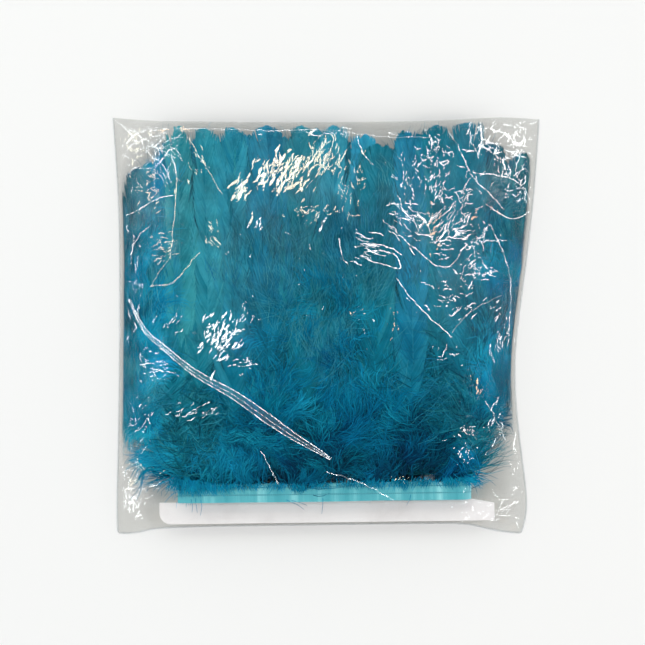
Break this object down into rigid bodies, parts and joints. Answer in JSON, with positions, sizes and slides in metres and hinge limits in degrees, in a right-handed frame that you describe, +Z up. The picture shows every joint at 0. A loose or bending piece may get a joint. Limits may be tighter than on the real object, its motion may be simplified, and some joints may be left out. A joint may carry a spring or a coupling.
{
  "type": "feather boa trim",
  "caption": "Teal feather boa fringe: feathers sewn in a satin ribbon, wound on a white notched card and packed flat in a clear open-mouthed bag that it slides out of.",
  "frame": {"origin": "centre of the pack's footprint, on the surface that it lies on", "axes": "+Y from the winding card towards the open mouth of the bag, +Z up, +X to the right seen from above with the mouth at the top"},
  "size_m": [0.3044, 0.2969, 0.0317],
  "materials": {
    "clear_film": "clear glossy crinkled film",
    "white_board": "matt white-coated board",
    "satin_ribbon": "light turquoise satin",
    "thread": "polyester sewing thread",
    "feather": "dyed teal feather, downy at the root and smooth at the tip"
  },
  "bodies": {
    "bag": {"bag_back_film": "clear_film", "bag_front_film": "clear_film", "left_side_weld": "clear_film", "right_side_weld": "clear_film", "bottom_weld": "clear_film"},
    "contents": {"winding_card": "white_board", "ribbon_inner_ply": "satin_ribbon", "ribbon_outer_ply": "satin_ribbon", "stitch_line_upper": "thread", "stitch_line_lower": "thread", "feathers_back_1": "feather", "feathers_back_2": "feather", "feathers_back_3": "feather", "feathers_back_4": "feather", "feathers_front_1": "feather", "feathers_front_2": "feather", "feathers_front_3": "feather", "feathers_front_4": "feather", "feathers_front_5": "feather"}
  },
  "joints": [
    {"name": "contents_slide_out", "type": "slide", "parent": "bag", "child": "contents", "axis": [0, 1, 0], "range_m": [0, 0.32], "deforming": ["bag_front_film"]}
  ]
}
